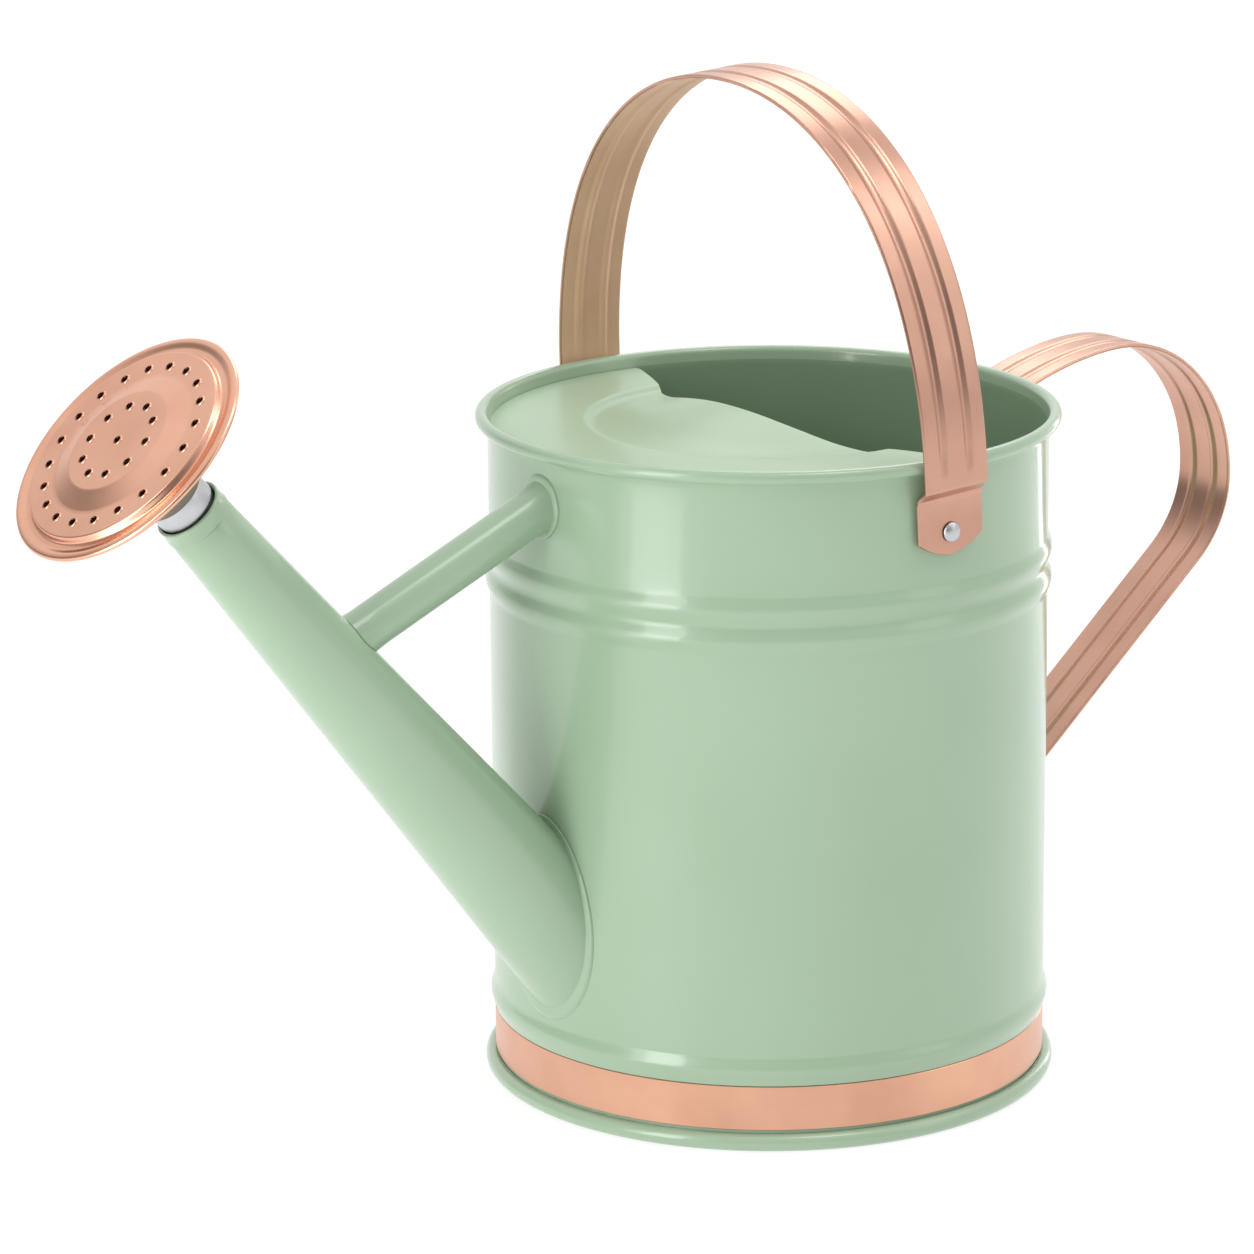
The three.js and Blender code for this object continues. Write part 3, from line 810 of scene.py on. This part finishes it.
def rose_funnel():
    """Curved cone from the neck to just behind the face."""
    start = 7 * MM
    sheet = 0.6 * MM
    line = bezier((NECK_R + 0.7 * MM, start), (NECK_R + 3 * MM, 9.5 * MM), (0.262 * R, 17 * MM),
                  (0.414 * R, ROSE_REACH - 1.5 * MM), 24)
    inside = [(r - 0.35 * MM, z + sheet) for r, z in reversed(line)]
    profile = [(NECK_R + 0.15 * MM, start)] + line + inside + [(NECK_R + 0.15 * MM, start + sheet)]
    verts, faces = turned(profile, angles(128), ON_ROSE)
    # The funnel takes the dark brown of painted shade.
    new_piece("rose_funnel", verts, faces, "rose", "rose_back", funnel_painted_shade)


def rose_ferrule():
    """Bright neck: a plug that enters the spout, then a wider band against its lip."""
    depth = 12 * MM
    top = 9 * MM
    profile = [(NECK_BORE_R, -depth), (PLUG_R - 0.2 * MM, -depth), (PLUG_R, -depth + 0.4 * MM)]
    profile += [(PLUG_R, -0.2 * MM), (NECK_R - 0.3 * MM, 0.1 * MM), (NECK_R - 0.1 * MM, 0.35 * MM)]
    profile += [(NECK_R, 0.9 * MM), (NECK_R, 6.2 * MM), (NECK_R - 0.1 * MM, 6.6 * MM)]
    profile += [(NECK_R - 0.2 * MM, top), (NECK_BORE_R, top)]
    verts, faces = turned(profile, angles(96), ON_ROSE)
    new_piece("rose_ferrule", verts, faces, "rose", "rose_neck", bright_steel)


# ---- straps ----
def groove_dip(v, half, depth):
    """How far the strip is pressed in, at a distance v from its middle line."""
    value = 0
    for place in GROOVE_PLACES:
        t = abs(v / (2 * half) - place) / GROOVE_HALF
        if t < 1:
            value += depth * (1 - t * t) ** 1.3
    return value


def strip_section(half, depth):
    """Points (across, up) round a strip: its face, a rounded edge, its back, the other edge."""
    thick = STRAP / 2
    flat = max(half - thick, 0.02 * MM)
    across = [flat * (2 * k / STRIP_COLUMNS - 1) for k in range(STRIP_COLUMNS + 1)]

    def edge(middle, degrees):
        turns = [math.radians(a) for a in degrees]
        return [(middle + thick * math.cos(turn), thick * math.sin(turn)) for turn in turns]

    face = [(v, thick - groove_dip(v, half, depth)) for v in across]
    back = [(v, -thick - groove_dip(v, half, depth)) for v in reversed(across)]
    return face + edge(flat, (60, 20, -20, -60)) + back + edge(-flat, (-120, -160, 160, 120))


# The faces of one row of a strap that belong to its back, and how many faces a row has.
BACK_FACES = range(STRIP_COLUMNS + 5, 2 * STRIP_COLUMNS + 6)
ROW_FACES = 2 * (STRIP_COLUMNS + 1) + 8


def strap(name, line, width_at, groove_at, to_world, body, node):
    """A strip swept along its middle line: rounded edges and two pressed grooves."""
    rows, strip = [], []
    run = 0
    for i, point in enumerate(line):
        before = line[max(i - 1, 0)]
        after = line[min(i + 1, len(line) - 1)]
        along = (after - before).normalized()
        side = Vector((along.y, -along.x))
        run += (point - before).length
        row = []
        for v, up in strip_section(width_at(point), groove_at(point)):
            spot = point + side * up
            row.append(to_world(spot.x, spot.y, v))
            strip.append((run, v, up))
        rows.append(row)
    verts, faces = grid(rows)
    faces.append(tuple(range(ROW_FACES - 1, -1, -1)))
    faces.append(tuple((len(rows) - 1) * ROW_FACES + j for j in range(ROW_FACES)))
    # The strips take the darker copper of painted shade.
    obj = new_piece(name, verts, faces, body, node, strip_copper_shaded, sharp=45)
    store_strip(obj, strip)
    return obj


def foot_width(z, bottom, corner, crease):
    """Half width of a foot: a shallow arc at its end, full width, then the strip's own width."""
    full = FOOT_WIDTH / 2
    if z < corner:
        return max(full * math.sqrt(max(z - bottom, 0) / (corner - bottom)), 0.7 * MM)
    neck = smooth_step(crease - 0.5 * MM, crease + 2.2 * MM, z)
    return full + (STRAP_WIDTH / 2 - full) * neck


def foot_end(bottom, corner, count):
    """Stations up a foot's rounded end, closest together at its tip."""
    return [(FOOT_MIDDLE, bottom + (corner - bottom) * (k / 14) ** 2) for k in range(count)]


def bail():
    """Swinging handle: a foot on each side, joggled over the rim, and a tall arch, leant a little."""
    crease = 2.305 * R
    bottom, corner = 2.10 * R, 2.155 * R
    joggle = FOOT_MIDDLE + 0.5 * MM
    arch = bezier((BAIL_HALF, 2.36 * R), (BAIL_HALF, 3.21 * R),
                  (0.575 * R, BAIL_TOP), (0, BAIL_TOP), 60)
    end = foot_end(bottom, corner, 15)
    foot = [end[-1], (FOOT_MIDDLE, crease - 1.1 * MM), (joggle, crease - 0.2 * MM)]
    foot += [(joggle, crease + 0.6 * MM), (BAIL_HALF, crease + 3.4 * MM), arch[1]]
    half = end[:-1] + evenly(rounded(foot, 0.5 * MM), 1.0 * MM) + arch[2:]
    half = [Vector(p) for p in half]
    line = apart(half + [Vector((-p.x, p.y)) for p in reversed(half[:-1])])
    lean = Matrix.Translation((0, 0, PIVOT_Z)) @ Matrix.Rotation(BAIL_LEAN, 4, "Y")

    def width_at(point):
        return foot_width(point.y, bottom, corner, crease)

    def groove_at(point):
        return GROOVE * smooth_step(crease + 6 * MM, crease + 13 * MM, point.y)

    def to_world(y, z, v):
        return lean @ Vector((-v, y, z - PIVOT_Z))

    obj = strap("top_handle", line, width_at, groove_at, to_world, "bail", "bail_strap")
    # The faces on the strip's back take the tan that partly paints in the green tank's reflection.
    obj.data.materials.append(strip_back_painted_reflection)
    for k in range((len(line) - 1) * ROW_FACES):
        if k % ROW_FACES in BACK_FACES:
            obj.data.polygons[k].material_index = 1
    drill(obj, ON_PIVOT_LEFT, -1.1 * R, 1.1 * R)


def rear():
    """Fixed handle: out from the upper foot, over a wide bend and back to the lower foot."""
    def at(x, z):
        return (x * R, z * R)

    rise = bezier(at(1.085, 2.368), at(1.22, 2.422), at(1.40, 2.468), at(1.55, 2.468), 14)
    fall = bezier(at(1.55, 2.468), at(1.86, 2.468), at(2.107, 2.22), at(2.107, 1.90), 36)
    turn = bezier(at(2.107, 1.90), at(2.107, 1.77), at(2.040, 1.661), at(1.956, 1.59), 16)
    top_bottom, top_corner = 2.03 * R, 2.08 * R
    low_bottom, low_corner = 0.57 * R, 0.62 * R
    foot = [(FOOT_MIDDLE, top_corner), (FOOT_MIDDLE, 2.315 * R), at(1.03, 2.34), rise[0]]
    leg = [turn[-1], at(1.06, 0.83), at(1.025, 0.79)]
    leg += [(FOOT_MIDDLE, 0.765 * R), (FOOT_MIDDLE, low_corner)]
    line = foot_end(top_bottom, top_corner, 14) + evenly(rounded(foot, 2.5 * MM), 1.5 * MM)
    line += rise[1:] + fall[1:] + turn[1:] + evenly(rounded(leg, 3 * MM), 2.5 * MM)[1:]
    line += reversed(foot_end(low_bottom, low_corner, 14))
    line = apart([Vector(p) for p in line])

    def width_at(point):
        if point.x > R + 3 * MM:
            return STRAP_WIDTH / 2
        if point.y < R:
            return min(foot_width(point.y, low_bottom, low_corner, 2 * R), STRAP_WIDTH / 2)
        return min(foot_width(point.y, top_bottom, top_corner, 3 * R), STRAP_WIDTH / 2)

    def groove_at(point):
        return -GROOVE * smooth_step(R + 4 * MM, R + 14 * MM, point.x)

    def to_world(x, z, v):
        return Vector((x, v, z))

    obj = strap("back_handle", line, width_at, groove_at, to_world, "can", "rear_handle")
    for height in REAR_RIVETS:
        drill(obj, on_rear(height), 0.9 * R, 1.1 * R)


# ---- fastenings ----
# Sections as (radius, height) in millimetres: heights from the tail's top, the head's seat
# and the wall's inner face.
RIVET_TAIL = ((0, -1.2), (1.6, -1.2), (2.2, -1.0), (2.6, -0.5), (2.6, 0), (1.6, 0))
RIVET_HEAD = ((1.6, 0), (3.1, 0), (3.1, 0.15), (2.95, 0.45), (2.6, 0.8), (2.1, 1.12),
              (1.5, 1.34), (0.8, 1.46), (0, 1.5))
WASHER = ((1.9, -1.0), (4.45, -1.0), (4.6, -0.85), (4.6, -0.5), (4.45, -0.35), (1.9, -0.35))


def rivet_and_washer(name, place):
    """A rivet through a strap and the wall, along the place's Z, and the washer inside the wall."""
    seat = R + 2 * GAP + STRAP
    inside = R - WALL - GAP
    tail = inside - GAP - 1.0 * MM
    profile = [(r * MM, tail + z * MM) for r, z in RIVET_TAIL]
    profile += [(r * MM, seat + z * MM) for r, z in RIVET_HEAD]
    verts, faces = turned(profile, angles(48), place, on_axis=True)
    node = f"{name}_rivet"
    new_piece(f"{node}_fine", verts, faces, "can", node, bright_steel)
    ring = [(r * MM, inside + z * MM) for r, z in WASHER]
    verts, faces = turned(ring, angles(48), place)
    node = f"{name}_washer"
    new_piece(f"{node}_fine", verts, faces, "can", node, bright_steel)


# ---- assembly ----
wall()
pan()
band()
hood()
spout()
collar_ring("spout_root_ring", "spout_saddle", ON_SPOUT, spout_radius, 1.7 * MM, angles(128))
brace()
collar_ring("brace_root_ring", "brace_saddle", ON_BRACE, brace_radius, 1.9 * MM, angles(72))
rose_disc()
rose_funnel()
rose_ferrule()
bail()
rear()
rivet_and_washer("bail_left", ON_PIVOT_LEFT)
rivet_and_washer("bail_right", ON_PIVOT_RIGHT)
rivet_and_washer("rear_top", on_rear(REAR_RIVETS[0]))
rivet_and_washer("rear_bottom", on_rear(REAR_RIVETS[1]))
seal = frame["nodes"]["rose_seal"]
seal.data.materials.clear()
seal.data.materials.append(seal_rubber)


# ---- studio ----
FLOOR_REACH = 6.0
# Each lamp: its name, place, the height on the axis it points at, its size and its power.
LAMPS = (
    ("window", (-1.50, -0.27, 0.62), 0.12, (0.45, 1.3), 8),
    ("fill", (0.975, -1.69, 0.9), 0.12, (0.8, 1.3), 3),
    ("low_right", (0.53, 0.13, 0.12), 0.12, (0.07, 0.36), 0.20),
    ("low_left", (-0.543, -0.086, 0.10), 0.10, (0.20, 0.36), 0.55),
    ("top", (0.15, -0.45, 1.6), 0.15, (0.5, 0.5), 3.5),
    ("side_top", (1.10, -0.67, 1.50), 0.25, (0.7, 0.7), 2.4),
    ("back_top", (0.95, 0.95, 1.45), 0.25, (0.9, 0.9), 6),
)
# Two factors of the surroundings' brightness: a direction, the two cosines from it between which
# the factor changes, and the factor there. The first brightens the rear and overhead, the second
# dims a patch at the far left.
SKY_FACTORS = (
    ((0.42, 0.56, 0.71), (-0.6, 0.6), (0.20, 0.95)),
    ((-0.656, 0.755, 0.0), (0.70, 0.97), (1.0, 0.35)),
)


def floor():
    mesh = bpy.data.meshes.new("floor")
    corners = [(x * FLOOR_REACH, y * FLOOR_REACH, 0) for x, y in ((-1, -1), (1, -1), (1, 1), (-1, 1))]
    mesh.from_pydata(corners, [], [(0, 1, 2, 3)])
    obj = bpy.data.objects.new("floor", mesh)
    bpy.context.scene.collection.objects.link(obj)
    n = Nodes("floor_white")
    n.set(Base_Color=(0.35, 0.35, 0.35, 1), Roughness=0.9, Specular_IOR_Level=0.0)
    n.set(Emission_Color=(1, 1, 1, 1), Emission_Strength=0.74)
    mesh.materials.append(n.material)


def panel_lamp(name, place, aim_height, size, power):
    """A soft rectangular lamp that the camera doesn't see."""
    lamp = bpy.data.lights.new(name, "AREA")
    lamp.shape = "RECTANGLE"
    lamp.size, lamp.size_y = size
    lamp.energy = power
    obj = bpy.data.objects.new(name, lamp)
    obj.location = place
    toward = Vector((0, 0, aim_height)) - Vector(place)
    obj.rotation_euler = toward.to_track_quat("-Z", "Y").to_euler()
    obj.visible_camera = False
    bpy.context.scene.collection.objects.link(obj)


def sky():
    """White surroundings whose brightness is the product of the two factors."""
    world = bpy.data.worlds.new("studio")
    world.use_nodes = True
    tree = world.node_tree
    back = tree.nodes["Background"]
    back.inputs["Color"].default_value = (1, 1, 1, 1)
    place = tree.nodes.new("ShaderNodeTexCoord")
    both = tree.nodes.new("ShaderNodeMath")
    both.operation = "MULTIPLY"
    for k, (direction, cosines, factors) in enumerate(SKY_FACTORS):
        lean = tree.nodes.new("ShaderNodeVectorMath")
        lean.operation = "DOT_PRODUCT"
        lean.inputs[1].default_value = direction
        spread = tree.nodes.new("ShaderNodeMapRange")
        spread.interpolation_type = "SMOOTHSTEP"
        spread.inputs["From Min"].default_value, spread.inputs["From Max"].default_value = cosines
        spread.inputs["To Min"].default_value, spread.inputs["To Max"].default_value = factors
        tree.links.new(place.outputs["Generated"], lean.inputs[0])
        tree.links.new(lean.outputs["Value"], spread.inputs["Value"])
        tree.links.new(spread.outputs["Result"], both.inputs[k])
    tree.links.new(both.outputs["Value"], back.inputs["Strength"])
    bpy.context.scene.world = world


def studio():
    floor()
    sky()
    for lamp in LAMPS:
        panel_lamp(*lamp)
    view = bpy.context.scene.view_settings
    view.view_transform = "Standard"
    view.look = "None"


# ---- camera ----
CAMERA_PLACE = (-0.99980, -1.27897, 0.57474)  # 1.6 m from the axis, above the spout's near side
CAMERA_TURN = (74.9537, 0.4482, -36.6122)     # degrees about X, Y and Z
CAMERA_LENS = 157.9                           # millimetres, on a 36 mm sensor


def camera():
    lens = bpy.data.cameras.new("camera")
    lens.sensor_width = 36
    lens.lens = CAMERA_LENS
    lens.clip_end = 50
    obj = bpy.data.objects.new("camera", lens)
    obj.location = CAMERA_PLACE
    obj.rotation_euler = tuple(math.radians(a) for a in CAMERA_TURN)
    bpy.context.scene.collection.objects.link(obj)
    bpy.context.scene.camera = obj


studio()
camera()
